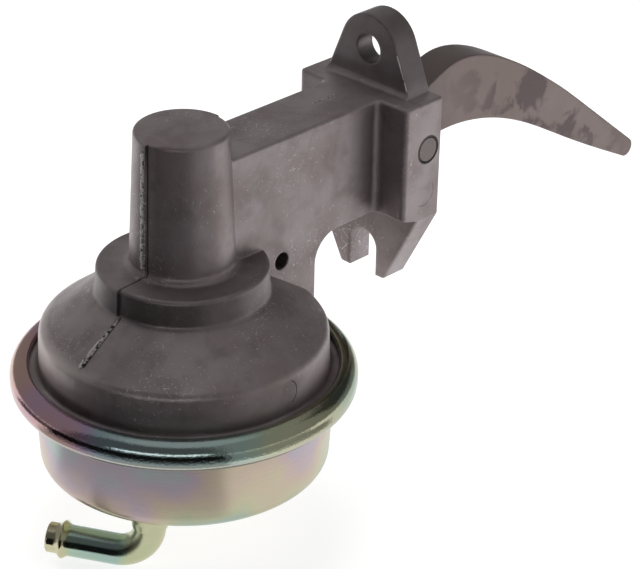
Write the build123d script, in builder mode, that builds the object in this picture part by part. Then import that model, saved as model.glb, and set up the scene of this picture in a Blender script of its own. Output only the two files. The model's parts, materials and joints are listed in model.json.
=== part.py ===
"""Mechanical fuel pump with a die-cast body, a crimped steel can and a hooked rocker arm.

The origin is on the mounting face, level with the rocker pin. X points out of the
mounting face towards the engine, Y lies along the rocker pin and Z points up, along the
diaphragm's rod. All sizes are in millimetres.
"""
import os
from math import cos, radians, sin

from build123d import *

os.makedirs("parts", exist_ok=True)

# Layout of the pump
face_to_axis = 89.0
pin_above_joint = 56.45
pin_behind_face = 5.6
axis_x = -face_to_axis
pin_x = -pin_behind_face
pump_axis = Axis((axis_x, 0, 0), (0, 0, 1))
level = Plane(origin=(axis_x, 0, -pin_above_joint))
section = Plane(origin=(axis_x, 0, -pin_above_joint), x_dir=(1, 0, 0), z_dir=(0, -1, 0))
side_view = Plane(origin=(0, 0, 0), x_dir=(1, 0, 0), z_dir=(0, -1, 0))
face_view = Plane(origin=(0, 0, 0), x_dir=(0, 1, 0), z_dir=(1, 0, 0))

# Tower, collar and dome of the casting, heights above the diaphragm joint
tower_top = 82.65
tower_top_radius = 14.0
tower_foot_radius = 15.9
tower_bore_radius = 11.3
tower_roof = 2.9
trim_radius = 36.0
trim_reach = 23.1
trim_rise = 33.8
collar_radius = 25.8
collar_top = 38.9
collar_foot = 29.8
flange_radius = 49.6
flange_top = 4.2
skirt_inset = 4.8
skirt_radius = flange_radius - skirt_inset
dome_inset = 0.6
dome_radius = skirt_radius - dome_inset
dome_edge = 17.0
dome_round = 3.0
parting_step = 0.7
wall = 3.6

# Web that carries the rod seal
chamber_roof = 26.0
chamber_round = 2.5
web_top = 33.0
seal_radius = 8.0
seal_depth = 5.0
retainer_thickness = 1.2
retainer_lip = 2.5
retainer_gap = 0.5

# Neck between the tower and the mounting block
neck_half_width = 11.0
neck_corner_round = 2.2
neck_channel_half = 7.3
channel_top = 12.15
channel_floor = -17.95
arch_gap = 0.8
arch_x = axis_x + skirt_radius + arch_gap
arch_crown = -21.9
arch_round = 9.5

# Mounting block, bolt ear and forked flange
block_half_width = 23.0
block_depth = 16.3
block_top = 16.4
block_foot = -23.9
block_corner_round = 1.5
edge_round = 1.0
opening_half_width = 10.0
opening_depth = 13.4
flange_thickness = 9.4
ear_hole_height = 28.2
ear_sink = 0.6
ear_radius = 12.0
ear_foot_half_width = 17.6
ear_round = 0.6
ear_foot_reach = 2.2
ear_foot_round = 2.0
bolt_hole_radius = 4.9
relief_depth = 2.4
relief_radius = 8.0
slot_radius = 5.6
slot_height = -40.6
prong_foot = -49.9
prong_half_width = 9.4
prong_round = 1.5
fork_root = 4.0
fork_shoulder_round = 2.0
fork_edge_round = 0.8

# Weep hole of the air chamber
weep_x = -58.2
weep_z = -24.8
weep_radius = 2.9
weep_depth = 8.0
riser_radius = 1.8
riser_inset = 3.0

# Rocker pin and its washers
pin_radius = 4.25
turning_gap = 0.05
side_gap = 0.1
washer_radius = 7.2

# Rocker arm: its back rises to a crest and falls to a rounded nose, its belly follows below
arm_half_thickness = 6.0
arm_root_top = 5.6
arm_root_rise = 20.0
arm_crest_x = 27.0
arm_crest_z = 15.2
arm_back_x = 72.7
arm_back_z = -3.6
arm_back_slope = 38.0
arm_nose_x = 126.9
arm_nose_z = -46.6
arm_nose_radius = 3.3
arm_belly_slope = 27.0
arm_belly_x = 86.3
arm_belly_z = -30.5
arm_knee_x = 46.2
arm_knee_z = -10.8
arm_throat_x = 28.0
arm_throat_z = -7.3
hub_half_thickness = 4.2
hub_radius = 8.2
bush_radius = 5.8
tail_reach = 20.0
tail_top = 3.0
tail_foot = -4.5
stop_gap = 0.3
stop_radius = 3.0
stop_inset = 0.5

# Link lever
link_inner_half = 4.6
link_sheet = 2.3
link_hub_radius = 6.3
link_reach = 6.0
link_top_at_rod = 1.55
link_end_fall = 1.0
link_height_at_rod = 6.0
bridge_thickness = 2.0
bridge_length = 6.0
bridge_gap = 0.3
bridge_inset = 2.0
tine_root_gap = 2.0
fold_bury = 0.1
link_floor_gap = 4.65
link_floor_back = 24.65

# Rod, spring seat and springs
rod_radius = 2.5
seat_gap = 0.3
seat_thickness = 1.8
seat_radius = 9.6
rod_head_radius = 4.5
rod_head_height = 1.8
rod_shoulder_radius = 4.2
spring_wire = 1.6
spring_radius = 7.6
spring_turns = 5.0
return_wire = 1.0
return_radius = 2.6
return_turns = 5.0
return_spring_x = -16.5

# Diaphragm and its plates
diaphragm_thickness = 0.8
plate_radius = 27.0
plate_thickness = 1.2
rivet_head = 1.4

# Can with its rolled rim
can_sheet = 1.2
can_inset = 3.4
can_depth = 28.2
can_taper = 1.4
can_corner = 4.0
rim_overhang = 3.9
rim_cover = 1.4
rim_top = 6.3
rim_foot = -3.6
rim_round = 4.6
rim_low_round = 2.4
rim_root_round = 1.4
can_radius = flange_radius - can_inset
rim_radius = flange_radius + rim_overhang
rim_lip_radius = flange_radius - rim_cover

# Valve housing and valves
housing_flange = 2.2
housing_gap = 0.2
housing_radius = can_radius - can_sheet - can_taper - housing_gap
housing_depth = 11.0
housing_dish_radius = 30.5
housing_dish = 3.2
housing_dish_slope = 3.0
valve_offset = 19.0
valve_bore_radius = 9.0
seat_plate = 2.0
seat_plate_foot = -8.4
port_radius = 1.6
port_circle = 4.4
disc_radius = 6.6
disc_thickness = 0.8
disc_lift = 0.9
stem_radius = 1.2
stem_head_radius = 2.8
stem_head = 0.6
valve_spring_shut = 1.5
stem_reach = disc_thickness + disc_lift + valve_spring_shut
disc_rest_gap = 0.02
valve_wire = 0.5
valve_spring_radius = 2.1
valve_spring_turns = 2.0
divider_thickness = 3.0
divider_inset = 3.4
divider_reach = housing_radius - divider_inset

# Hose tube and outlet fitting
tube_radius = 4.9
tube_bore_radius = 3.9
tube_inset = 10.2
tube_circle = can_radius - tube_inset
tube_angle = 209.6
tube_elbow_radius = 10.5
tube_elbow_drop = 4.5
tube_direction = 122.0
tube_turn = 93.0
tube_length = 21.2
bead_radius = 6.0
bead_from_end = 5.0
bead_half_length = 1.8
bead_bury = 0.3
collar_drop = 4.5
collar_flare = 3.0
collar_slope = 22.0
outlet_circle = 28.0
outlet_angle = 35.0
outlet_radius = 8.0
outlet_step = 2.0
outlet_neck_radius = outlet_radius - outlet_step
outlet_drop = 8.0
outlet_bore_radius = 5.2

# Sizes that finish the forms above
collar_fall = 0.4
collar_draft = 0.4
opening_corner = 3.0
pin_chamfer = 0.4
arm_step = 2.0
arm_step_foot = -8.0
bridge_x = pin_x - tail_reach + bridge_inset
overlap = 1.0


def at(radius, angle):
    """Place on the can's floor at a radius from the pump axis and an angle in degrees."""
    return (axis_x + radius * cos(radians(angle)), radius * sin(radians(angle)))


def heading(angle):
    """Unit step along an angle in degrees, in the plane of a profile."""
    return (cos(radians(angle)), sin(radians(angle)))


def save(piece, name):
    """Labels a finished piece and writes it to its own file."""
    piece.label = name
    export_step(piece, f"parts/{name}.step")


def casting_outline(step):
    """Half outline of the round casting, its radii above the dome's edge grown by the step."""
    return FilletPolyline(
        (0, diaphragm_thickness),
        (0, tower_top),
        (tower_top_radius + step, tower_top),
        (tower_foot_radius + step, collar_top),
        (collar_radius + step, collar_top - collar_fall),
        (collar_radius + collar_draft + step, collar_foot),
        (dome_radius, dome_edge),
        (skirt_radius, flange_top),
        (flange_radius, flange_top),
        (flange_radius, diaphragm_thickness),
        close=True,
        radius=[0, 0, 1.4, 2.4, 1.2, 2.0, dome_round, 1.2, 0.6, 0],
    )


# Beam: the neck and the mounting block in one outline, arched beneath, with rounded top edges
neck_foot = -pin_above_joint + flange_top + overlap
with BuildPart() as beam:
    with BuildSketch(Plane.XY.offset(neck_foot)):
        with BuildLine():
            FilletPolyline(
                (axis_x, -neck_half_width),
                (-block_depth, -neck_half_width),
                (-block_depth, -block_half_width),
                (0, -block_half_width),
                (0, block_half_width),
                (-block_depth, block_half_width),
                (-block_depth, neck_half_width),
                (axis_x, neck_half_width),
                close=True,
                radius=[
                    0,
                    neck_corner_round,
                    block_corner_round,
                    0,
                    0,
                    block_corner_round,
                    neck_corner_round,
                    0,
                ],
            )
        make_face()
    extrude(amount=block_top - neck_foot)
    rim_edges = beam.faces().sort_by(Axis.Z)[-1].edges()
    across = rim_edges.filter_by(Axis.Y)
    seated = across.sort_by(Axis.X)[0:1] + across.sort_by(Axis.X)[-1:]
    fillet(rim_edges - seated, edge_round)
    with BuildSketch(side_view):
        with BuildLine():
            FilletPolyline(
                (axis_x, neck_foot),
                (axis_x, block_top),
                (0, block_top),
                (0, block_foot),
                (-flange_thickness, block_foot),
                (-block_depth, arch_crown),
                (arch_x, arch_crown),
                (arch_x, neck_foot),
                close=True,
                radius=[0, 0, 0, 0, 0, 0, arch_round, 0],
            )
        make_face()
    extrude(amount=block_half_width, both=True, mode=Mode.INTERSECT)

# Ear over the block and the hollow fillet at its foot
with BuildSketch(face_view) as ear_outline:
    with BuildLine():
        Polyline(
            (-ear_foot_half_width, block_top - overlap),
            (ear_foot_half_width, block_top - overlap),
            (ear_foot_half_width, block_top),
            (0, ear_hole_height),
            (-ear_foot_half_width, block_top),
            close=True,
        )
    make_face()
    with Locations((0, ear_hole_height - ear_sink)):
        Circle(ear_radius)
    make_hull()
with BuildPart() as ear:
    extrude(ear_outline.sketch, amount=-flange_thickness)
    fillet(ear.faces().sort_by(Axis.X)[0].edges(), ear_round)
with BuildPart() as ear_foot:
    with BuildSketch(side_view):
        with BuildLine():
            FilletPolyline(
                (-flange_thickness - ear_foot_reach, block_top - overlap),
                (-flange_thickness - ear_foot_reach, block_top),
                (-flange_thickness, block_top),
                (-flange_thickness, block_top + ear_foot_reach),
                (-flange_thickness + overlap, block_top + ear_foot_reach),
                (-flange_thickness + overlap, block_top - overlap),
                close=True,
                radius=[0, 0, ear_foot_round, 0, 0, 0],
            )
        make_face()
    extrude(amount=ear_foot_half_width, both=True)
    extrude(ear_outline.sketch, amount=-flange_thickness - ear_foot_reach, mode=Mode.INTERSECT)

# Forked flange beneath the block, its outline rounded behind
with BuildPart() as fork:
    with BuildSketch(face_view.offset(-flange_thickness)):
        with BuildLine():
            FilletPolyline(
                (-block_half_width, block_foot + fork_root),
                (block_half_width, block_foot + fork_root),
                (block_half_width, block_foot),
                (prong_half_width, prong_foot),
                (-prong_half_width, prong_foot),
                (-block_half_width, block_foot),
                close=True,
                radius=[0, 0, fork_shoulder_round, prong_round, prong_round, fork_shoulder_round],
            )
        make_face()
        with Locations((0, slot_height)):
            Circle(slot_radius, mode=Mode.SUBTRACT)
        with Locations((0, (slot_height + prong_foot - overlap) / 2)):
            Rectangle(2 * slot_radius, slot_height - prong_foot + overlap, mode=Mode.SUBTRACT)
    extrude(amount=flange_thickness)
    fillet(fork.faces().sort_by(Axis.X)[0].edges(), fork_edge_round)

# Casting: tower, collar, dome and flange, with the neck, block, ear and fork
with BuildPart() as body:
    for step, turn in ((0, -1), (parting_step, 1)):
        with BuildSketch(section):
            with BuildLine():
                casting_outline(step)
            make_face()
        revolve(axis=Axis((axis_x, 0, 0), (0, 0, turn)), revolution_arc=180)
    add(beam.part)
    add(ear.part)
    add(ear_foot.part)
    add(fork.part)

    # Upper bolt hole, relieved on the mounting side
    with BuildSketch(face_view):
        with Locations((0, ear_hole_height)):
            Circle(bolt_hole_radius)
    extrude(amount=-flange_thickness, mode=Mode.SUBTRACT)
    with BuildSketch(face_view):
        with Locations((0, ear_hole_height)):
            Circle(relief_radius)
    extrude(amount=-relief_depth, mode=Mode.SUBTRACT)

    # Shallow scoop in the tower's rim, where the sprue was trimmed
    trim_z = tower_top - pin_above_joint + trim_rise
    with Locations((axis_x - trim_reach, 0, trim_z)):
        Sphere(trim_radius, mode=Mode.SUBTRACT)

    # Tower bore, open beneath into the neck
    with BuildSketch(level.offset(web_top)):
        Circle(tower_bore_radius)
    extrude(amount=tower_top - tower_roof - web_top, mode=Mode.SUBTRACT)
    with BuildSketch(side_view):
        with BuildLine():
            Polyline(
                (axis_x, channel_floor),
                (axis_x, channel_top),
                (0, channel_top),
                (0, channel_floor),
                close=True,
            )
        make_face()
    extrude(amount=neck_channel_half, both=True, mode=Mode.SUBTRACT)
    with BuildSketch(face_view.offset(-opening_depth)):
        with Locations((0, (channel_top + channel_floor) / 2)):
            RectangleRounded(2 * opening_half_width, channel_top - channel_floor, opening_corner)
    extrude(amount=opening_depth, mode=Mode.SUBTRACT)

    # Air chamber under the dome, rod bore and seal pocket
    with BuildSketch(section):
        with BuildLine():
            FilletPolyline(
                (0, 0),
                (0, chamber_roof),
                (collar_radius - wall, chamber_roof),
                (dome_radius - wall, dome_edge - wall),
                (skirt_radius - wall, diaphragm_thickness),
                (skirt_radius - wall, 0),
                close=True,
                radius=[0, 0, chamber_round, chamber_round, 0, 0],
            )
        make_face()
    revolve(axis=pump_axis, mode=Mode.SUBTRACT)
    with BuildSketch(level.offset(chamber_roof - overlap)):
        Circle(rod_radius + turning_gap)
    extrude(amount=web_top - chamber_roof + 2 * overlap, mode=Mode.SUBTRACT)
    with BuildSketch(level.offset(chamber_roof - overlap)):
        Circle(seal_radius)
    extrude(amount=seal_depth + overlap, mode=Mode.SUBTRACT)

    # Weep hole drilled into the neck and the riser that joins it to the air chamber
    with BuildSketch(side_view.offset(neck_half_width - weep_depth)):
        with Locations((weep_x, weep_z)):
            Circle(weep_radius)
    extrude(amount=weep_depth + overlap, mode=Mode.SUBTRACT)
    riser_y = -neck_half_width + weep_depth - riser_inset
    with BuildSketch(Plane(origin=(weep_x, riser_y, weep_z))):
        Circle(riser_radius)
    extrude(amount=-(weep_z + pin_above_joint - diaphragm_thickness), mode=Mode.SUBTRACT)

    # Stop boss under the arm's tail and the bore for the rocker pin
    stop_top = tail_foot - stop_gap
    stop_x = pin_x - tail_reach + stop_radius + stop_inset
    with BuildSketch(Plane(origin=(stop_x, 0, channel_floor - overlap))):
        Circle(stop_radius)
    extrude(amount=stop_top - channel_floor + overlap)
    with BuildSketch(side_view):
        with Locations((pin_x, 0)):
            Circle(pin_radius)
    extrude(amount=block_half_width + overlap, both=True, mode=Mode.SUBTRACT)

# Steel can: one sheet drawn to a cup and rolled over the casting's flange
with BuildPart() as can:
    with BuildSketch(section):
        with BuildLine():
            FilletPolyline(
                (0, -can_depth),
                (can_radius - can_taper, -can_depth),
                (can_radius, rim_foot),
                (rim_radius, rim_foot),
                (rim_radius, rim_top),
                (rim_lip_radius, rim_top),
                radius=[can_corner, rim_root_round, rim_low_round, rim_round],
            )
            offset(amount=can_sheet, side=Side.LEFT)
        make_face()
    revolve(axis=pump_axis)
    leg_x, leg_y = at(tube_circle, tube_angle)
    leg_base = Plane(origin=(leg_x, leg_y, -pin_above_joint - can_depth))
    leg_section = Plane(origin=leg_base.origin, x_dir=(1, 0, 0), z_dir=(0, -1, 0))
    with BuildSketch(leg_section):
        with BuildLine():
            mouth = tube_radius + collar_flare
            Polyline(
                (tube_radius, can_sheet / 2),
                (tube_radius, -collar_drop),
                (tube_radius + can_sheet / 2, -collar_drop),
            )
            Spline(
                (tube_radius + can_sheet / 2, -collar_drop),
                (mouth, 0),
                tangents=[heading(90), heading(collar_slope)],
            )
            Polyline((mouth, 0), (mouth, can_sheet / 2), (tube_radius, can_sheet / 2))
        make_face()
    revolve(axis=Axis(leg_base.origin, (0, 0, 1)))
    with BuildSketch(leg_base):
        Circle(tube_radius + turning_gap)
    extrude(amount=can_sheet, mode=Mode.SUBTRACT)
    out_x, out_y = at(outlet_circle, outlet_angle)
    with BuildSketch(level.offset(-can_depth)):
        with Locations((out_x - axis_x, out_y)):
            Circle(outlet_neck_radius + turning_gap)
    extrude(amount=can_sheet, mode=Mode.SUBTRACT)

# Hose tube: a leg out of the can's floor, an elbow and a straight run with a bead
with BuildPart() as hose_nipple:
    reach_x = cos(radians(tube_direction))
    reach_y = sin(radians(tube_direction))
    elbow_z = -pin_above_joint - can_depth - tube_elbow_drop
    hinge_line = Axis(
        (leg_x + tube_elbow_radius * reach_x, leg_y + tube_elbow_radius * reach_y, elbow_z),
        (reach_y, -reach_x, 0),
    )
    with BuildSketch(Plane(origin=(leg_x, leg_y, elbow_z))) as tube_ring:
        Circle(tube_radius)
        Circle(tube_bore_radius, mode=Mode.SUBTRACT)
    extrude(amount=tube_elbow_drop + can_sheet + overlap)
    revolve(tube_ring.sketch, axis=hinge_line, revolution_arc=tube_turn)
    end_turn = radians(tube_turn)
    run = Vector(reach_x * sin(end_turn), reach_y * sin(end_turn), -cos(end_turn))
    run_shift = tube_elbow_radius * (1 - cos(end_turn))
    run_foot = Vector(
        leg_x + run_shift * reach_x,
        leg_y + run_shift * reach_y,
        elbow_z - tube_elbow_radius * sin(end_turn),
    )
    with BuildSketch(Plane(origin=run_foot, z_dir=run)):
        Circle(tube_radius)
        Circle(tube_bore_radius, mode=Mode.SUBTRACT)
    extrude(amount=tube_length)
    bead_place = run_foot + (tube_length - bead_from_end) * run
    bead_plane = Plane(origin=bead_place, x_dir=run, z_dir=(reach_y, -reach_x, 0))
    with BuildSketch(bead_plane):
        with BuildLine():
            Polyline(
                (bead_half_length, tube_radius),
                (bead_half_length, tube_bore_radius + bead_bury),
                (-bead_half_length, tube_bore_radius + bead_bury),
                (-bead_half_length, tube_radius),
            )
            ThreePointArc(
                (-bead_half_length, tube_radius),
                (0, bead_radius),
                (bead_half_length, tube_radius),
            )
        make_face()
    revolve(axis=Axis(bead_place, run))

# Outlet fitting: a turned boss with a tapped bore, brazed into the can's floor
with BuildPart() as outlet_fitting:
    floor_z = -pin_above_joint - can_depth
    with BuildSketch(Plane(origin=(out_x, out_y, floor_z - outlet_drop))):
        RegularPolygon(outlet_radius, 6)
    extrude(amount=outlet_drop)
    with BuildSketch(Plane(origin=(out_x, out_y, floor_z))):
        Circle(outlet_neck_radius)
    extrude(amount=can_sheet + overlap)
    with BuildSketch(Plane(origin=(out_x, out_y, floor_z - outlet_drop))):
        Circle(outlet_bore_radius)
    extrude(amount=outlet_drop + can_sheet + overlap, mode=Mode.SUBTRACT)

# Valve housing: a plate with two valve bores, a dish above and a divider below
with BuildPart() as valve_housing:
    with BuildSketch(section):
        with BuildLine():
            Polyline(
                (0, -housing_dish),
                (housing_dish_radius, -housing_dish),
                (housing_dish_radius + housing_dish_slope, 0),
                (flange_radius, 0),
                (flange_radius, -housing_flange),
                (housing_radius, -housing_flange),
                (housing_radius, -housing_depth),
                (0, -housing_depth),
                close=True,
            )
        make_face()
    revolve(axis=pump_axis)
    divider_depth = can_depth - can_sheet - housing_depth
    with BuildSketch(level.offset(-housing_depth - divider_depth)):
        Rectangle(2 * divider_reach, divider_thickness)
    extrude(amount=divider_depth)
    with BuildSketch(level.offset(-housing_depth)):
        with Locations((0, -valve_offset), (0, valve_offset)):
            Circle(valve_bore_radius)
    extrude(amount=housing_depth, mode=Mode.SUBTRACT)


def valve_level(height, up):
    """Height of a valve feature, mirrored about the seat's middle for a valve that opens down."""
    middle = seat_plate_foot + seat_plate / 2
    return height if up else 2 * middle - height


def ring(name, place, foot, top, outer, inner):
    """A plain round ring or disc between two heights above the diaphragm joint."""
    low, high = sorted((foot, top))
    with BuildPart() as piece:
        with BuildSketch(level.offset(low)):
            with Locations(place):
                Circle(outer)
                if inner > 0:
                    Circle(inner, mode=Mode.SUBTRACT)
        extrude(amount=high - low)
    save(piece.part, name)
    return piece.part


def coil(name, origin, foot, top, mean_radius, wire, turns):
    """A plain wound spring of round wire between two heights of the finished model."""
    rise = top - foot - wire
    with BuildPart() as piece:
        with BuildLine() as path:
            Helix(rise / turns, rise, mean_radius, center=(origin[0], origin[1], foot + wire / 2))
        start = path.line @ 0
        with BuildSketch(Plane(origin=start, z_dir=path.line % 0)):
            Circle(wire / 2)
        sweep(path=path.line, is_frenet=True)
    save(piece.part, name)
    return piece.part


# Valves: a seat with four ports, a disc, a light spring and a riveted stem
for valve, side, up in (("inlet", -1, True), ("outlet", 1, False)):
    place = (0, side * valve_offset)
    with BuildPart() as valve_seat:
        with BuildSketch(level.offset(seat_plate_foot)):
            with Locations(place):
                Circle(valve_bore_radius)
                Circle(stem_radius, mode=Mode.SUBTRACT)
                with PolarLocations(port_circle, 4):
                    Circle(port_radius, mode=Mode.SUBTRACT)
        extrude(amount=seat_plate)
    save(valve_seat.part, f"{valve}_valve_seat")
    disc_foot = seat_plate_foot + seat_plate + disc_rest_gap
    ring(
        f"{valve}_valve_disc",
        place,
        valve_level(disc_foot, up),
        valve_level(disc_foot + disc_thickness, up),
        disc_radius,
        stem_radius + turning_gap,
    )
    head_foot = disc_foot + stem_reach - stem_head
    with BuildPart() as stem:
        head_top = valve_level(head_foot + stem_head, up)
        low, high = sorted((valve_level(seat_plate_foot, up), head_top))
        with BuildSketch(level.offset(low)):
            with Locations(place):
                Circle(stem_radius)
        extrude(amount=high - low)
        low, high = sorted((valve_level(head_foot, up), head_top))
        with BuildSketch(level.offset(low)):
            with Locations(place):
                Circle(stem_head_radius)
        extrude(amount=high - low)
    save(stem.part, f"{valve}_valve_stem")
    disc_top = valve_level(disc_foot + disc_thickness, up)
    low, high = sorted((disc_top, valve_level(head_foot, up)))
    coil(
        f"{valve}_valve_spring",
        at(valve_offset, 90 * side),
        -pin_above_joint + low,
        -pin_above_joint + high,
        valve_spring_radius,
        valve_wire,
        valve_spring_turns,
    )

# Diaphragm, its two plates and the pull rod
ring("diaphragm", (0, 0), 0, diaphragm_thickness, flange_radius, rod_radius)
plate_top = diaphragm_thickness + plate_thickness
ring("upper_plate", (0, 0), diaphragm_thickness, plate_top, plate_radius, rod_radius)
ring("lower_plate", (0, 0), -plate_thickness, 0, plate_radius, rod_radius)
seat_foot = pin_above_joint + link_top_at_rod + seat_gap
with BuildPart() as pull_rod:
    with BuildSketch(section):
        with BuildLine():
            head = seat_foot + seat_thickness
            Polyline(
                (0, -plate_thickness - rivet_head),
                (rod_shoulder_radius, -plate_thickness - rivet_head),
                (rod_shoulder_radius, -plate_thickness),
                (rod_radius, -plate_thickness),
                (rod_radius, plate_top),
                (rod_shoulder_radius, plate_top),
                (rod_shoulder_radius, plate_top + rivet_head),
                (rod_radius, plate_top + rivet_head),
                (rod_radius, head),
                (rod_head_radius, head),
                (rod_head_radius, head + rod_head_height),
                (0, head + rod_head_height),
                close=True,
            )
        make_face()
    revolve(axis=pump_axis)
save(pull_rod.part, "pull_rod")
ring("spring_seat", (0, 0), seat_foot, seat_foot + seat_thickness, seat_radius, rod_radius)
coil(
    "diaphragm_spring",
    (axis_x, 0),
    seat_foot + seat_thickness - pin_above_joint,
    tower_top - tower_roof - pin_above_joint,
    spring_radius,
    spring_wire,
    spring_turns,
)

# Rod seal in its pocket and the cup washer that keeps it there
ring(
    "oil_seal",
    (0, 0),
    chamber_roof,
    chamber_roof + seal_depth,
    seal_radius,
    rod_radius + turning_gap,
)
ring(
    "seal_retainer",
    (0, 0),
    chamber_roof - retainer_thickness,
    chamber_roof,
    seal_radius + retainer_lip,
    rod_radius + retainer_gap,
)

# Rocker pin, staked flush with the block's sides
with BuildPart() as pivot_pin:
    with BuildSketch(side_view.offset(-block_half_width)):
        with Locations((pin_x, 0)):
            Circle(pin_radius)
    extrude(amount=2 * block_half_width)
    chamfer(pivot_pin.edges().filter_by(GeomType.CIRCLE), pin_chamfer)
save(pivot_pin.part, "pivot_pin")


def pin_ring(name, start, end, outer, inner):
    """A ring on the rocker pin between two places along it."""
    with BuildPart() as piece:
        with BuildSketch(side_view.offset(-end)):
            with Locations((pin_x, 0)):
                Circle(outer)
                Circle(inner, mode=Mode.SUBTRACT)
        extrude(amount=end - start)
    save(piece.part, name)


cheek_outer = link_inner_half + link_sheet
washer_bore = pin_radius + turning_gap
pin_ring(
    "thrust_washer_far",
    cheek_outer + side_gap,
    opening_half_width - side_gap,
    washer_radius,
    washer_bore,
)
pin_ring(
    "thrust_washer_near",
    -opening_half_width + side_gap,
    -cheek_outer - side_gap,
    washer_radius,
    washer_bore,
)
pin_ring(
    "rocker_bushing",
    -hub_half_thickness,
    hub_half_thickness,
    bush_radius,
    washer_bore,
)

# Rocker arm: a forged hook, thick outside the block and thin where it turns on the pin
nose_middle = Vector(arm_nose_x - arm_nose_radius, arm_nose_z)
nose_top = nose_middle + arm_nose_radius * Vector(*heading(90 - arm_back_slope))
nose_foot = nose_middle + arm_nose_radius * Vector(*heading(-90 - arm_belly_slope))
with BuildPart() as rocker_arm:
    with BuildSketch(side_view):
        with Locations((pin_x, 0)):
            Circle(hub_radius)
        with BuildLine():
            Polyline(
                (pin_x, tail_foot),
                (pin_x - tail_reach, tail_foot),
                (pin_x - tail_reach, tail_top),
                (pin_x, tail_top),
                close=True,
            )
        make_face()
        with BuildLine():
            Polyline((pin_x, -hub_radius), (pin_x, hub_radius))
            Line((pin_x, hub_radius), (arm_step, arm_root_top))
            Line((arm_step, arm_root_top), (arm_step, arm_step_foot))
            Line((arm_step, arm_step_foot), (pin_x, -hub_radius))
        make_face()
    extrude(amount=hub_half_thickness, both=True)
    with BuildSketch(side_view):
        with BuildLine():
            Spline(
                (arm_step, arm_root_top),
                (arm_crest_x, arm_crest_z),
                (arm_back_x, arm_back_z),
                nose_top,
                tangents=[heading(arm_root_rise), heading(-arm_back_slope)],
            )
            ThreePointArc(nose_top, (arm_nose_x, arm_nose_z), nose_foot)
            Spline(
                nose_foot,
                (arm_belly_x, arm_belly_z),
                (arm_knee_x, arm_knee_z),
                (arm_throat_x, arm_throat_z),
                (arm_step, arm_step_foot),
                tangents=[heading(180 - arm_belly_slope), heading(180)],
            )
            Line((arm_step, arm_step_foot), (arm_step, arm_root_top))
        make_face()
    extrude(amount=arm_half_thickness, both=True)
    with BuildSketch(side_view):
        with Locations((pin_x, 0)):
            Circle(bush_radius)
    extrude(amount=arm_half_thickness + overlap, both=True, mode=Mode.SUBTRACT)
save(rocker_arm.part, "rocker_arm")

# Link lever: a folded channel whose cheeks straddle the hub and lift the spring seat
with BuildPart() as link_lever:
    rod_end = axis_x - link_reach
    tine_root = axis_x + seat_radius + tine_root_gap
    link_foot = link_top_at_rod - link_height_at_rod
    with BuildSketch(side_view):
        with Locations((pin_x, 0)):
            Circle(link_hub_radius)
        with BuildLine():
            Polyline(
                (pin_x, link_hub_radius),
                (bridge_x - bridge_length / 2, tail_top + bridge_gap + bridge_thickness),
                (tine_root, link_top_at_rod),
                (axis_x, link_top_at_rod),
                (rod_end, link_top_at_rod - link_end_fall),
                (rod_end, link_foot),
                (tine_root, link_foot),
                (pin_x, -link_hub_radius),
                close=True,
            )
        make_face()
    extrude(amount=cheek_outer, both=True)
    with BuildSketch(side_view):
        with BuildLine():
            Polyline(
                (rod_end - overlap, -link_hub_radius - overlap),
                (rod_end - overlap, link_hub_radius + overlap),
                (pin_x + link_hub_radius + overlap, link_hub_radius + overlap),
                (pin_x + link_hub_radius + overlap, -link_hub_radius - overlap),
                close=True,
            )
        make_face()
    extrude(amount=link_inner_half, both=True, mode=Mode.SUBTRACT)
    with BuildSketch(Plane.XY.offset(tail_top + bridge_gap)):
        with Locations((bridge_x, 0)):
            Rectangle(bridge_length, 2 * (link_inner_half + fold_bury))
    extrude(amount=bridge_thickness)
    with BuildSketch(side_view):
        with Locations((pin_x, 0)):
            Circle(washer_bore)
    extrude(amount=cheek_outer + overlap, both=True, mode=Mode.SUBTRACT)
    floor_start = axis_x + seat_radius + link_floor_gap
    floor_end = pin_x - link_floor_back
    with BuildSketch(Plane.XY.offset(link_foot)):
        with Locations(((floor_start + floor_end) / 2, 0)):
            Rectangle(floor_end - floor_start, 2 * (link_inner_half + fold_bury))
    extrude(amount=link_sheet)
save(link_lever.part, "link_lever")

# Arm return spring, between the tail and the roof of the neck
coil(
    "rocker_return_spring",
    (return_spring_x, 0),
    tail_top,
    channel_top,
    return_radius,
    return_wire,
    return_turns,
)

save(body.part, "pump_body")
save(can.part, "can")
save(hose_nipple.part, "hose_nipple")
save(outlet_fitting.part, "outlet_fitting")
save(valve_housing.part, "valve_housing")
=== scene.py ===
"""Looks of a mechanical fuel pump: die-cast body, crimped steel can, bent hose tube and forged rocker arm.

The origin is on the mounting face, level with the rocker pin. X points to the engine, Y lies along the
rocker pin and Z points up, along the diaphragm's rod. Lengths are metres, or millimetres times MM.
"""
import json
from math import cos, radians, sin

import bpy
import numpy as np
from mathutils import Matrix, Vector


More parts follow.
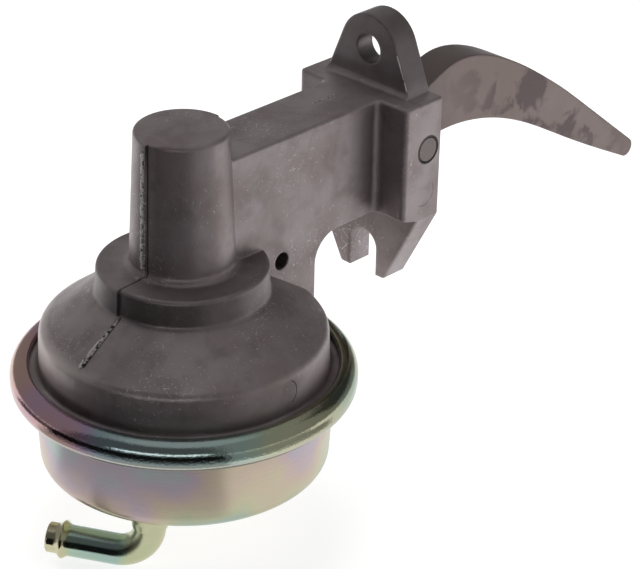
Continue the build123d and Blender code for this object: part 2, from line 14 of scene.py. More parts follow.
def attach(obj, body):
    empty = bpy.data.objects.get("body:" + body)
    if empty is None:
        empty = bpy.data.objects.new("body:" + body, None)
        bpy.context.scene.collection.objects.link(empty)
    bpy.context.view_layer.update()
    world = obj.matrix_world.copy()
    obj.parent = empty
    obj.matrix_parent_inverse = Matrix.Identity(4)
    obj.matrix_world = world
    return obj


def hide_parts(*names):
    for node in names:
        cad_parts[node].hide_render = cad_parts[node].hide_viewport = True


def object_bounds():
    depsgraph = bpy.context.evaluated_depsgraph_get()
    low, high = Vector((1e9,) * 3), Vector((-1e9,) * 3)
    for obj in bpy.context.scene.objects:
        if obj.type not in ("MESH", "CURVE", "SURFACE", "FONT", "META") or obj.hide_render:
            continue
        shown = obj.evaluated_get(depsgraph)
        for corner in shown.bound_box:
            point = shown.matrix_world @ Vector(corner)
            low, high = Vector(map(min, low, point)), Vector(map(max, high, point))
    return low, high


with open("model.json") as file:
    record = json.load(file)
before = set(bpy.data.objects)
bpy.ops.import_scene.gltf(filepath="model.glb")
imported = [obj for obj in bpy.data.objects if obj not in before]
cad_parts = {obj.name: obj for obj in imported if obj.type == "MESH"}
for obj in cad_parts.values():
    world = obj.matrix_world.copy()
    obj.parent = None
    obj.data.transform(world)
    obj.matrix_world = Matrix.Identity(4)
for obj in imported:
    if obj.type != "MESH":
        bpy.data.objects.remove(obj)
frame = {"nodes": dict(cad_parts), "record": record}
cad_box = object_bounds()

MM = 0.001
WHITE = (1, 1, 1, 1)

# The can's axis, the joint of can and casting, and the floor that the pump stands over
AXIS_X = -89.0 * MM
JOINT_Z = -56.45 * MM
FLOOR_Z = cad_box[0][2] - 0.2 * MM

# In millimetres: the pin, the block's side that it ends in, and the can's underside from the joint
PIN_X = -5.6
BLOCK_SIDE_Y = -23.0
CAN_FLOOR = -28.2

# Hose tube: where its leg leaves the can's floor, and the way its straight part points
LEG_OFFSET = 36.0 * MM
LEG_BEARING = radians(209.6)
LEG_X = AXIS_X + LEG_OFFSET * cos(LEG_BEARING)
LEG_Y = LEG_OFFSET * sin(LEG_BEARING)
TUBE_ROOT = (LEG_X, LEG_Y, JOINT_Z + CAN_FLOOR * MM)
TUBE_BEARING = radians(122.0)
TUBE_AHEAD = (cos(TUBE_BEARING), sin(TUBE_BEARING), 0.0)


def surface(name, points, closed_along=False, closed_across=True, pole_start=None, pole_end=None):
    """Mesh over a grid of points (rows, columns, 3).

    Each four neighbours make a face, and a pole closes an end.
    """
    rows, columns, _ = points.shape
    index = np.arange(rows * columns).reshape(rows, columns)
    down = np.roll(index, -1, axis=0) if closed_along else index[1:]
    here = index if closed_along else index[:-1]
    if closed_across:
        quads = np.stack([here, np.roll(here, -1, axis=1), np.roll(down, -1, axis=1), down], axis=-1)
    else:
        quads = np.stack([here[:, :-1], here[:, 1:], down[:, 1:], down[:, :-1]], axis=-1)
    vertices = points.reshape(-1, 3)
    faces = quads.reshape(-1, 4).tolist()
    if pole_start is not None:
        vertices = np.vstack([vertices, pole_start])
        ring = np.stack([np.full(columns, len(vertices) - 1), np.roll(index[0], -1), index[0]], axis=-1)
        faces += ring.tolist()
    if pole_end is not None:
        vertices = np.vstack([vertices, pole_end])
        ring = np.stack([np.full(columns, len(vertices) - 1), index[-1], np.roll(index[-1], -1)], axis=-1)
        faces += ring.tolist()
    mesh = bpy.data.meshes.new(name)
    mesh.from_pydata(vertices.tolist(), [], faces)
    mesh.polygons.foreach_set("use_smooth", np.ones(len(mesh.polygons), dtype=bool))
    mesh.update()
    piece = bpy.data.objects.new(name, mesh)
    bpy.context.collection.objects.link(piece)
    return piece


def rounded(corners, radii, steps=8):
    """Outline through corners, each replaced by an arc of its radius.

    The arc's ends are radius / tan(half the corner's angle) away from the corner.
    """
    corners = np.array(corners, float)
    out = [corners[0]]
    for before, corner, after, radius in zip(corners[:-2], corners[1:-1], corners[2:], radii):
        to_before = (before - corner) / np.linalg.norm(before - corner)
        to_after = (after - corner) / np.linalg.norm(after - corner)
        half = np.arccos(np.clip(to_before @ to_after, -1, 1)) / 2
        if radius <= 0:
            out.append(corner)
            continue
        bisector = (to_before + to_after) / np.linalg.norm(to_before + to_after)
        centre = corner + bisector * radius / np.sin(half)
        start = corner + to_before * radius / np.tan(half) - centre
        end = corner + to_after * radius / np.tan(half) - centre
        share = np.linspace(0, 1, steps)[:, None]
        sweep = np.arccos(np.clip((start @ end) / radius ** 2, -1, 1))
        arc = np.sin((1 - share) * sweep) * start + np.sin(share * sweep) * end
        out.extend(centre + arc / np.sin(sweep))
    out.append(corners[-1])
    return np.array(out)


def evened(outline, spacing):
    """The outline's own points with more put between them, so that no gap is wider than the spacing."""
    parts = []
    for a, b in zip(outline[:-1], outline[1:]):
        count = max(1, int(np.ceil(np.linalg.norm(b - a) / spacing)))
        parts.append(a + (b - a) * np.linspace(0, 1, count, endpoint=False)[:, None])
    parts.append(outline[-1:])
    return np.vstack(parts)


def inward(outline, thickness):
    """The outline moved to its left by the thickness, along the mean normal at each point."""
    step = np.gradient(outline, axis=0)
    step /= np.maximum(np.linalg.norm(step, axis=1), 1e-12)[:, None]
    return outline + thickness * np.column_stack([-step[:, 1], step[:, 0]])


def turned(name, outline, centre, spokes, closed=False):
    """Surface of revolution: point (i, j) is centre + (r_i cos t_j, r_i sin t_j, h_i).

    The angles t_j go all the way round.
    """
    turn = np.linspace(0, 2 * np.pi, spokes, endpoint=False)
    radius, height = outline[:, 0][:, None], outline[:, 1][:, None]
    points = np.stack([radius * np.cos(turn), radius * np.sin(turn), height + 0 * turn], axis=-1)
    points = points + np.array(centre)
    if closed:
        return surface(name, points, closed_along=True)
    first = np.array(centre) + (0, 0, outline[0, 1])
    last = np.array(centre) + (0, 0, outline[-1, 1])
    return surface(name, points[1:-1], pole_start=first, pole_end=last)


def rings_along(route, ring_radius, spokes=64):
    """Rings of a tube round a route: point (i, j) is route_i + r_i (cos t_j n_i + sin t_j b).

    Here b is the bend's own axis, and n_i is square to it and to the route.
    """
    ahead = np.gradient(route, axis=0)
    ahead /= np.linalg.norm(ahead, axis=1)[:, None]
    aside = np.array([sin(TUBE_BEARING), -cos(TUBE_BEARING), 0.0])
    across = np.cross(aside, ahead)
    across /= np.linalg.norm(across, axis=1)[:, None]
    turn = np.linspace(0, 2 * np.pi, spokes, endpoint=False)
    ring = np.cos(turn)[None, :, None] * across[:, None, :] + np.sin(turn)[None, :, None] * aside
    return route[:, None, :] + ring_radius[:, None, None] * ring


def ripple(count, smooth, seed):
    """Seeded noise of unit height: random values averaged over a window of neighbours."""
    rough = np.random.default_rng(seed).normal(size=count + 4 * smooth)
    window = np.hanning(2 * smooth + 1)
    soft = np.convolve(rough, window / window.sum(), mode="same")[2 * smooth:2 * smooth + count]
    return soft / np.abs(soft).max()


def flash(name, start, end, outward, width, height, seed, material, rows=160, spokes=20):
    """Torn ridge between two points: point (u, a) lies on an oval round the line.

    The oval's height, width and side wander with u by seeded noise, and it tapers at both ends.
    """
    start, end = np.array(start) * MM, np.array(end) * MM
    along = (end - start) / np.linalg.norm(end - start)
    outward = np.array(outward, float) - np.dot(outward, along) * along
    outward /= np.linalg.norm(outward)
    side = np.cross(along, outward)
    u = np.linspace(0, 1, rows)
    turn = np.linspace(0, 2 * np.pi, spokes, endpoint=False)
    ends = np.clip(np.minimum(u, 1 - u) * 14, 0, 1) ** 0.5
    tall = height * MM * ends * (0.72 + 0.28 * ripple(rows, 1, seed))
    wide = width * MM / 2 * ends * (0.85 + 0.15 * ripple(rows, 2, seed + 1))
    drift = 0.12 * width * MM * ripple(rows, 9, seed + 2)
    knobs = 1 + 0.22 * np.stack([ripple(rows, 1, seed + 3 + k) for k in range(spokes)], axis=1)
    points = start + u[:, None, None] * (end - start)
    points = points + (drift[:, None] + wide[:, None] * np.cos(turn) * knobs)[..., None] * side
    points = points + (tall[:, None] * np.sin(turn) * knobs)[..., None] * outward
    ridge = surface(name, points, pole_start=start, pole_end=end)
    ridge.data.materials.append(material)
    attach(ridge, "pump")


def put(made, values):
    """Fills a node's inputs, each from a socket or a value."""
    for key, value in values.items():
        if isinstance(value, bpy.types.NodeSocket):
            made.id_data.links.new(value, made.inputs[key])
        else:
            made.inputs[key].default_value = value
    return made


def node(tree, kind, inputs=None, **settings):
    """One shader node: its settings, then its inputs."""
    made = tree.nodes.new("ShaderNode" + kind)
    for key, value in settings.items():
        setattr(made, key, value)
    return put(made, inputs or {})


def arithmetic(tree, operation, first, second, clamp=False):
    """The result of one sum on two sockets or values."""
    return node(tree, "Math", {0: first, 1: second}, operation=operation, use_clamp=clamp).outputs[0]


def plus(tree, first, second):
    """Sum of two sockets or values."""
    return arithmetic(tree, "ADD", first, second)


def minus(tree, first, second):
    """The first socket or value less the second."""
    return arithmetic(tree, "SUBTRACT", first, second)


def times(tree, *factors):
    """Product of sockets or values."""
    result = factors[0]
    for factor in factors[1:]:
        result = arithmetic(tree, "MULTIPLY", result, factor)
    return result


def larger(tree, first, second):
    """The larger of two sockets or values."""
    return arithmetic(tree, "MAXIMUM", first, second)


def size_of(tree, value):
    """A value without its sign."""
    return arithmetic(tree, "ABSOLUTE", value, 0.0)


def above(tree, value, limit):
    """One where the value is over the limit, otherwise nought."""
    return arithmetic(tree, "GREATER_THAN", value, limit)


def below(tree, value, limit):
    """One where the value is under the limit, otherwise nought."""
    return arithmetic(tree, "LESS_THAN", value, limit)


def remap(tree, value, low, high, start=0.0, end=1.0, **settings):
    """A value taken from the range low to high into the range start to end, and held there."""
    return node(tree, "MapRange", {0: value, 1: low, 2: high, 3: start, 4: end}, **settings).outputs[0]


def between(tree, share, start, end):
    """The value at a share of the way from start to end."""
    return remap(tree, share, 0.0, 1.0, start, end)


def vector_result(tree, operation, first, second):
    """A vector worked out from two vectors."""
    return node(tree, "VectorMath", {0: first, 1: second}, operation=operation).outputs["Vector"]


def vector_value(tree, operation, first, second):
    """A number worked out from two vectors, such as their distance or how far they point the same way."""
    return node(tree, "VectorMath", {0: first, 1: second}, operation=operation).outputs["Value"]


def split(tree, place):
    """The three coordinates of a place."""
    return node(tree, "SeparateXYZ", {0: place}).outputs


def clouds(tree, place, per_metre, **inputs):
    """Soft noise with so many clouds to the metre."""
    return node(tree, "TexNoise", {"Vector": place, "Scale": per_metre, **inputs}).outputs[0]


def blend_colour(tree, share, first, second, kind="MIX"):
    """Two colours mixed by a share."""
    made = node(tree, "Mix", data_type="RGBA", blend_type=kind)
    share_input, first_input, second_input = 0, 6, 7
    opaque = [(*colour, 1) if isinstance(colour, tuple) else colour for colour in (first, second)]
    return put(made, {share_input: share, first_input: opaque[0], second_input: opaque[1]}).outputs[2]


def layered(tree, base, layers):
    """A colour with others laid over it in turn, each by its mask times its strength."""
    for mask, strength, colour in layers:
        base = blend_colour(tree, times(tree, mask, strength), base, colour)
    return base


def ramp(tree, value, stops):
    """Colour for a value, between the stops (place, colour)."""
    made = node(tree, "ValToRGB", {0: value})
    stretch = made.color_ramp.elements
    while len(stretch) < len(stops):
        stretch.new(0.5)
    for element, (place, colour) in zip(stretch, stops):
        element.position = place
        element.color = (*colour, 1)
    return made.outputs[0]


def group(name, numbers, results):
    """An empty shader group: its place and numbers go in, and its results come out."""
    tree = bpy.data.node_groups.new(name, "ShaderNodeTree")
    tree.interface.new_socket(name="Place", in_out="INPUT", socket_type="NodeSocketVector")
    for label, value in numbers.items():
        made = tree.interface.new_socket(name=label, in_out="INPUT", socket_type="NodeSocketFloat")
        made.default_value = value
    for label, kind in results.items():
        tree.interface.new_socket(name=label, in_out="OUTPUT", socket_type="NodeSocket" + kind)
    given = tree.nodes.new("NodeGroupInput").outputs
    return tree, given, tree.nodes.new("NodeGroupOutput")


def use(tree, effect, place, numbers):
    """Places an effect group in a material with its own values."""
    made = tree.nodes.new("ShaderNodeGroup")
    made.node_tree = effect
    return put(made, {"Place": place, **numbers}).outputs


def bump(tree, shader, strength, distance, height, **inputs):
    """Raises a surface by a height, through the shader's normal."""
    made = node(tree, "Bump", {"Strength": strength, "Distance": distance, "Height": height, **inputs})
    tree.links.new(made.outputs[0], shader.inputs["Normal"])


def make_casting_grain():
    """Fine skin of a casting or forging: small grains and larger soft waves as one height."""
    numbers = {"Grains per metre": 2500.0, "Waves per metre": 160.0, "Wave share": 0.5}
    tree, given, out = group("casting grain", numbers, {"Height": "Float", "Grain": "Float"})
    fine = clouds(tree, given["Place"], given["Grains per metre"], Detail=3.0, Roughness=0.6)
    wave = clouds(tree, given["Place"], given["Waves per metre"], Detail=2.0)
    mixed = node(tree, "Mix", {0: given["Wave share"], 2: fine, 3: wave}, data_type="FLOAT").outputs[0]
    put(out, {"Height": mixed, "Grain": fine})
    return tree


def make_stains():
    """Cloudy patches with soft ragged borders, as a mask from 0 to 1."""
    numbers = {"Patches per metre": 60.0, "Cover": 0.5, "Softness": 0.12}
    tree, given, out = group("stains", numbers, {"Mask": "Float"})
    cloud = clouds(
        tree, given["Place"], given["Patches per metre"], Detail=5.0, Roughness=0.55, Distortion=0.35,
    )
    level = minus(tree, 1.0, given["Cover"])
    foot = minus(tree, level, given["Softness"])
    top = plus(tree, level, given["Softness"])
    put(out, {"Mask": remap(tree, cloud, foot, top, interpolation_type="SMOOTHSTEP")})
    return tree


def make_scuffs():
    """Handling marks: short bent scratches where two clouds both allow them, and specks in wider groups."""
    numbers = {"Scratches per metre": 220.0, "Cover": 0.3, "Width": 0.03, "Specks per metre": 900.0}
    tree, given, out = group("scuffs", numbers, {"Mask": "Float"})
    small_cloud = clouds(tree, given["Place"], 760.0, Detail=1.0)
    wide_cloud = clouds(tree, given["Place"], 45.0, Detail=1.0)
    scratch_cells = {"Vector": given["Place"], "Scale": given["Scratches per metre"]}
    cells = node(tree, "TexVoronoi", scratch_cells, feature="DISTANCE_TO_EDGE").outputs["Distance"]
    line = remap(tree, cells, 0.0, given["Width"], 1.0, 0.0)
    level = minus(tree, 1.0, given["Cover"])
    both = plus(tree, times(tree, small_cloud, 0.55), times(tree, wide_cloud, 0.45))
    scratch = times(tree, line, remap(tree, both, level, plus(tree, level, 0.05)))
    seeds = node(tree, "TexVoronoi", {"Vector": given["Place"], "Scale": given["Specks per metre"]}).outputs
    speck = remap(tree, seeds["Distance"], 0.10, 0.22, 1.0, 0.0)
    chance = node(tree, "SeparateColor", {0: seeds["Color"]}).outputs[0]
    crowd = remap(tree, wide_cloud, 0.42, 0.72, 0.0, 0.45)
    speck = times(tree, speck, below(tree, chance, crowd))
    put(out, {"Mask": larger(tree, scratch, speck)})
    return tree


def make_edge_wear_and_glint():
    """Rubbed edges, lightened partly as a painted highlight: the rounded normal against the plain one tells
    how near an edge is.

    The rounded normal goes on to the shader.
    """
    numbers = {"Reach": 0.0006, "Breaks per metre": 300.0}
    tree, given, out = group("edge wear and glint", numbers, {"Mask": "Float", "Normal": "Vector"})
    eased = node(tree, "Bevel", {"Radius": given["Reach"]}, samples=6).outputs[0]
    plain = node(tree, "NewGeometry").outputs["Normal"]
    off = minus(tree, 1.0, vector_value(tree, "DOT_PRODUCT", eased, plain))
    breaks = clouds(tree, given["Place"], given["Breaks per metre"], Detail=2.0)
    put(out, {"Mask": times(tree, remap(tree, off, 0.01, 0.16), breaks), "Normal": eased})
    return tree


def make_oxide_film():
    """Colours of a thin passive film: its thickness drifts in clouds, and each thickness has its colour."""
    numbers = {"Clouds per metre": 22.0, "Thickness": 0.3, "Swing": 1.1}
    tree, given, out = group("oxide film", numbers, {"Colour": "Color"})
    cloud = clouds(tree, given["Place"], given["Clouds per metre"], Detail=2.0, Roughness=0.4)
    swing = times(tree, minus(tree, cloud, 0.5), times(tree, given["Swing"], 2.0))
    wrapped = arithmetic(tree, "FRACT", plus(tree, swing, given["Thickness"]), 0.0)
    straw = (0.56, 0.53, 0.35)
    put(out, {"Colour": ramp(tree, wrapped, [
        (0.00, straw),
        (0.17, (0.58, 0.47, 0.34)),
        (0.34, (0.54, 0.40, 0.41)),
        (0.48, (0.46, 0.37, 0.49)),
        (0.62, (0.37, 0.45, 0.49)),
        (0.76, (0.36, 0.51, 0.44)),
        (0.89, (0.49, 0.53, 0.33)),
        (1.00, straw),
    ])})
    return tree


casting_grain = make_casting_grain()
stains = make_stains()
scuffs = make_scuffs()
edge_wear_and_glint = make_edge_wear_and_glint()
oxide_film = make_oxide_film()


def start_material(name, roughness, metallic):
    """A material with its Principled shader and the place on the piece that its patterns read."""
    material = bpy.data.materials.new(name)
    material.use_nodes = True
    tree = material.node_tree
    shader = tree.nodes["Principled BSDF"]
    put(shader, {"Roughness": roughness, "Metallic": metallic})
    return material, tree, shader, node(tree, "TexCoord").outputs["Object"]


def grain_on(tree, place, grains, waves, wave_share):
    """The casting grain at a size of its own."""
    numbers = {"Grains per metre": grains, "Waves per metre": waves, "Wave share": wave_share}
    return use(tree, casting_grain, place, numbers)


def stains_on(tree, place, patches, cover, softness):
    """The mask of stains at a size and cover of their own."""
    numbers = {"Patches per metre": patches, "Cover": cover, "Softness": softness}
    return use(tree, stains, place, numbers)["Mask"]


def across_can(tree, place):
    """How far across the can a place is, from -1 where the film is rose to 1 on the far side."""
    from_axis = vector_result(tree, "SUBTRACT", place, (AXIS_X, 0.0, 0.0))
    return vector_value(tree, "DOT_PRODUCT", from_axis, (12.8, -13.62, 0.0))


def ring_mark(tree, place, centre, radius, width):
    """Mask of a thin ring on a ball round a point: how near the distance to the point is to the radius."""
    apart = vector_value(tree, "DISTANCE", place, tuple(c * MM for c in centre))
    off = size_of(tree, minus(tree, apart, radius * MM))
    return remap(tree, off, width * MM, 0.4 * width * MM)


def seam_shadow_mark(tree, x, y, z):
    """Mask of painted shadow along the parting line: down the leaning tower, over the collar and beside the
    cone's ridge.
    """
    collar_height, cone_height = -16.8 * MM, -26.2 * MM
    down_tower = remap(tree, z, -16.5 * MM, 24.0 * MM, -1.25 * MM, -0.12 * MM)
    down_cone = remap(tree, z, cone_height - 0.4 * MM, cone_height, -0.9 * MM, 0.2 * MM)
    line = remap(tree, z, collar_height - 0.4 * MM, collar_height, down_cone, down_tower)
    near_line = remap(tree, size_of(tree, minus(tree, y, line)), 0.42 * MM, 0.16 * MM)
    back_of_tower, tower_rim, cone_crease = -100.5 * MM, 25.2 * MM, -37.5 * MM
    within = times(tree, below(tree, z, tower_rim), above(tree, z, cone_crease))
    return times(tree, near_line, below(tree, x, back_of_tower), within)


def painted_ear_shade_and_collar_band(tree, x, z):
    """Mask of painted shade on the ear's face, and of a darker band round the collar."""
    ear = remap(tree, z, 16.8 * MM, 21.5 * MM, end=0.54)
    ear = times(tree, ear, above(tree, x, -30.0 * MM))
    collar = remap(tree, size_of(tree, plus(tree, z, 22.5 * MM)), 5.2 * MM, 3.2 * MM, end=0.62)
    return larger(tree, ear, times(tree, collar, below(tree, x, -70.0 * MM)))


def painted_skirt_light_mark(tree, place, z):
    """Mask of painted light on the skirt under the dome, on the rose side of the can."""
    high = times(tree, remap(tree, z, -37.0 * MM, -39.0 * MM), remap(tree, z, -49.2 * MM, -47.2 * MM))
    return times(tree, high, remap(tree, across_can(tree, place), -0.341, -0.711))


def make_die_cast():
    """Dark treated die casting: brown and grey clouds, grain, pale scuffs, mould marks, rubbed edges with
    painted highlight, painted shade on the ear, painted light on the skirt and painted shadow by the seam.
    """
    material, tree, shader, place = start_material("dark die casting", 0.44, 0.80)
    grain = grain_on(tree, place, 1900.0, 110.0, 0.45)
    brown = stains_on(tree, place, 55.0, 0.5, 0.16)
    spots = stains_on(tree, place, 130.0, 0.42, 0.12)
    handling = {"Scratches per metre": 330.0, "Cover": 0.405, "Width": 0.04, "Specks per metre": 1300.0}
    marks = use(tree, scuffs, place, handling)["Mask"]
    edges = use(tree, edge_wear_and_glint, place, {"Reach": 0.9 * MM, "Breaks per metre": 260.0})
    x, y, z = split(tree, place)
    struck = remap(tree, minus(tree, x, z), 8.0 * MM, 11.0 * MM)
    ejector = times(tree, ring_mark(tree, place, (-7.0, BLOCK_SIDE_Y, -14.5), 4.6, 0.30), struck)
    pin_seat = ring_mark(tree, place, (PIN_X, BLOCK_SIDE_Y, 0.0), 4.50, 0.42)
    cold_shut = ring_mark(tree, place, (-89.4, -44.6, -44.9), 4.14, 0.22)
    cold_shut = times(tree, cold_shut, above(tree, x, -87.6 * MM))
    # Near black: painted shadow beside the parting line's flash, with the ejector ring, the pin's seat and
    # the cold shut.
    seam_shadow_and_ejector = larger(tree, times(tree, seam_shadow_mark(tree, x, y, z), 0.78), times(tree, ejector, 0.40))
    dark = larger(tree, seam_shadow_and_ejector, times(tree, larger(tree, pin_seat, cold_shut), 0.95))
    skin = blend_colour(tree, brown, (0.300, 0.260, 0.268), (0.248, 0.202, 0.199))
    base = layered(tree, skin, [
        (spots, 0.36, (0.130, 0.105, 0.105)),
        (grain["Grain"], 0.12, (0.40, 0.37, 0.37)),
        # Edges lightened for wear and as a painted highlight.
        (edges["Mask"], 0.45, (0.50, 0.47, 0.47)),
        (marks, 0.75, (0.66, 0.63, 0.63)),
        # Painted shade on the ear's face, and a darker band round the collar.
        (painted_ear_shade_and_collar_band(tree, x, z), 1.0, (0.090, 0.078, 0.080)),
        # Painted light on the skirt, on the rose side of the can.
        (painted_skirt_light_mark(tree, place, z), 0.85, (0.60, 0.53, 0.52)),
        (dark, 1.0, (0.020, 0.017, 0.017)),
    ])
    grainy = plus(tree, 0.27, times(tree, grain["Grain"], 0.20))
    put(shader, {"Base Color": base, "Roughness": plus(tree, times(tree, brown, 0.07), grainy)})
    height = plus(tree, grain["Height"], times(tree, marks, 0.15))
    height = minus(tree, height, times(tree, ejector, 0.6))
    bump(tree, shader, 0.22, 0.6 * MM, height, Normal=edges["Normal"])
    return material


def make_torn_flash():
    """Torn metal of a mould seam: bright broken grains in a dark ground."""
    material, tree, shader, place = start_material("torn seam flash", 0.38, 0.8)
    grain = grain_on(tree, place, 2600.0, 900.0, 0.5)
    spots = stains_on(tree, place, 900.0, 0.56, 0.08)
    base = blend_colour(tree, spots, (0.060, 0.050, 0.050), (0.66, 0.62, 0.62))
    put(shader, {"Base Color": base, "Roughness": plus(tree, 0.30, times(tree, grain["Grain"], 0.25))})
    bump(tree, shader, 0.7, 0.6 * MM, grain["Height"])
    return material


def zinc_shade(tree, shader, place, look):
    """Passivated zinc put on a shader: film colours in clouds, faint draw lines and dark pin holes.

    The look gives the film's thickness, swing and vividness, and the roughness, brightness, haze,
    grains to the metre, orange peel, strength of the draw lines, and a mask of painted shade.
    """
    numbers = {"Clouds per metre": 44.0, "Thickness": look["thickness"], "Swing": look["swing"]}
    film = use(tree, oxide_film, place, numbers)["Colour"]
    film = node(tree, "HueSaturation", {"Saturation": look["vivid"], "Color": film}).outputs[0]
    grain = grain_on(tree, place, look["grains"], 420.0, 0.35)
    pits = stains_on(tree, place, 520.0, 0.18, 0.02)
    stretched = node(tree, "Mapping", {"Vector": place, "Scale": (18.0, 18.0, 3400.0)}).outputs[0]
    lines = clouds(tree, stretched, 1.0, Detail=3.0, Roughness=0.7)
    base = blend_colour(tree, look["haze"], film, (0.50, 0.46, 0.39))
    base = blend_colour(tree, 1.0, base, (look["brightness"],) * 3, "MULTIPLY")
    bright_lines = arithmetic(tree, "SUBTRACT", lines, 0.42, clamp=True)
    base = layered(tree, base, [
        (pits, 0.5, (0.10, 0.09, 0.07)),
        (bright_lines, times(tree, look["drawn"], 0.25), (0.82, 0.80, 0.72)),
        # Painted shade from the look's mask.
        (look["dark"], 1.0, (0.020, 0.020, 0.016)),
    ])
    line_roughness = times(tree, lines, look["drawn"], 0.10)
    put(shader, {"Base Color": base, "Roughness": plus(tree, look["roughness"], line_roughness)})
    height = plus(tree, grain["Height"], times(tree, lines, look["drawn"], 0.12))
    bump(tree, shader, look["orange_peel"], 0.3 * MM, height)


def make_can_zinc():
    """Zinc on the can: the rim's film goes from rose over teal to yellow green, the wall's is cloudy."""
    material, tree, shader, place = start_material("zinc on the can", 0.30, 1.0)
    height = split(tree, place)[2]
    on_rim = remap(tree, height, JOINT_Z - 4.6 * MM, JOINT_Z - 3.4 * MM)
    across = across_can(tree, place)
    from_rose_side = remap(tree, across, -1.0, 1.0)
    rim_film = ramp(tree, from_rose_side, [(stop, (film,) * 3) for stop, film in (
        (0.00, 0.36), (0.12, 0.38), (0.21, 0.46), (0.30, 0.66),
        (0.60, 0.75), (0.76, 0.90), (0.91, 0.90), (1.00, 0.80),
    )])
    down_wall = remap(tree, height, JOINT_Z - 28.0 * MM, JOINT_Z - 9.0 * MM, 0.02, 0.42)
    wall_film = plus(tree, down_wall, remap(tree, across, -1.0, 1.0, 0.16, -0.16))
    rim_vivid = remap(tree, from_rose_side, 0.22, 0.40, 1.45, 0.85)
    under_lip = remap(tree, height, JOINT_Z + 0.3 * MM, JOINT_Z - 0.9 * MM, end=0.62)
    # A near-black line low on the rim's face, where the sheet turns under: painted shade in the crease.
    fold_height, rim_face_radius = JOINT_Z - 1.85 * MM, 52.0 * MM
    fold_shade = size_of(tree, minus(tree, height, fold_height))
    fold_shade = remap(tree, fold_shade, 0.42 * MM, 0.18 * MM, end=0.85)
    flat = vector_result(tree, "MULTIPLY", place, (1, 1, 0))
    from_axis = vector_value(tree, "DISTANCE", flat, (AXIS_X, 0, 0))
    fold_shade = times(tree, fold_shade, above(tree, from_axis, rim_face_radius))
    shaded_end = times(tree, remap(tree, from_rose_side, 0.82, 0.98, end=0.32), on_rim)
    zinc_shade(tree, shader, place, {
        "thickness": between(tree, on_rim, wall_film, rim_film),
        "swing": between(tree, on_rim, 0.78, 0.26),
        "vivid": between(tree, on_rim, 1.00, rim_vivid),
        "roughness": between(tree, on_rim, 0.24, 0.09),
        "brightness": 0.92,
        "haze": between(tree, on_rim, 0.30, under_lip),
        "grains": between(tree, on_rim, 3200.0, 1500.0),
        "orange_peel": between(tree, on_rim, 0.14, 0.26),
        "drawn": between(tree, on_rim, 1.0, 0.15),
        "dark": larger(tree, fold_shade, shaded_end),
    })
    return material


def make_tube_zinc():
    """Zinc on the hose tube: soft and pale round the elbow, polished and teal along the straight part."""
    material, tree, shader, place = start_material("zinc on the tube", 0.14, 1.0)
    from_leg = vector_result(tree, "SUBTRACT", place, (LEG_X, LEG_Y, 0.0))
    along = vector_value(tree, "DOT_PRODUCT", from_leg, TUBE_AHEAD)
    polished = remap(tree, along, 5.0 * MM, 11.0 * MM)
    at_bead = remap(tree, along, 24.5 * MM, 26.5 * MM)
    zinc_shade(tree, shader, place, {
        "thickness": between(tree, at_bead, between(tree, polished, 0.98, 0.76), 0.95),
        "swing": 0.25,
        "vivid": 1.0,
        "roughness": between(tree, polished, 0.24, 0.07),
        "brightness": 1.0,
        "haze": 0.0,
        "grains": 3200.0,
        "orange_peel": 0.16,
        "drawn": 1.0,
        "dark": 0.0,
    })
    return material


def make_forged():
    """Forged and hardened steel: brown and violet stains on its broad sides, painted shade on its thin faces
    and a painted shadow near the pin.
    """
    material, tree, shader, place = start_material("heat stained forging", 0.42, 0.75)
    grain = grain_on(tree, place, 1700.0, 140.0, 0.5)
    blots = stains_on(tree, place, 92.0, 0.45, 0.06)
    cloud = stains_on(tree, place, 26.0, 0.55, 0.18)
    edges = use(tree, edge_wear_and_glint, place, {"Reach": 1.1 * MM, "Breaks per metre": 200.0})
    x = split(tree, place)[0]
    middle_x = 75.0 * MM
    middle = remap(tree, size_of(tree, minus(tree, x, middle_x)), 58.0 * MM, 22.0 * MM)
    # Painted shadow near the pin, and painted shade on the thin faces, chosen by which way they face.
    root_shadow = remap(tree, x, 30.0 * MM, 6.0 * MM)
    facing = split(tree, node(tree, "NewGeometry").outputs["Normal"])[1]
    narrow_face_shade = remap(tree, size_of(tree, facing), 0.75, 0.30)
    skin = blend_colour(tree, cloud, (0.215, 0.178, 0.170), (0.192, 0.150, 0.138))
    base = layered(tree, skin, [
        (times(tree, blots, middle), 0.8, (0.085, 0.060, 0.064)),
        (root_shadow, 0.45, (0.085, 0.068, 0.068)),
        (narrow_face_shade, 0.62, (0.080, 0.062, 0.062)),
        # Edges lightened for wear and as a painted highlight.
        (edges["Mask"], 0.30, (0.34, 0.31, 0.30)),
    ])
    put(shader, {"Base Color": base, "Roughness": plus(tree, 0.34, times(tree, grain["Grain"], 0.20))})
    bump(tree, shader, 0.20, 0.7 * MM, grain["Height"], Normal=edges["Normal"])
    return material


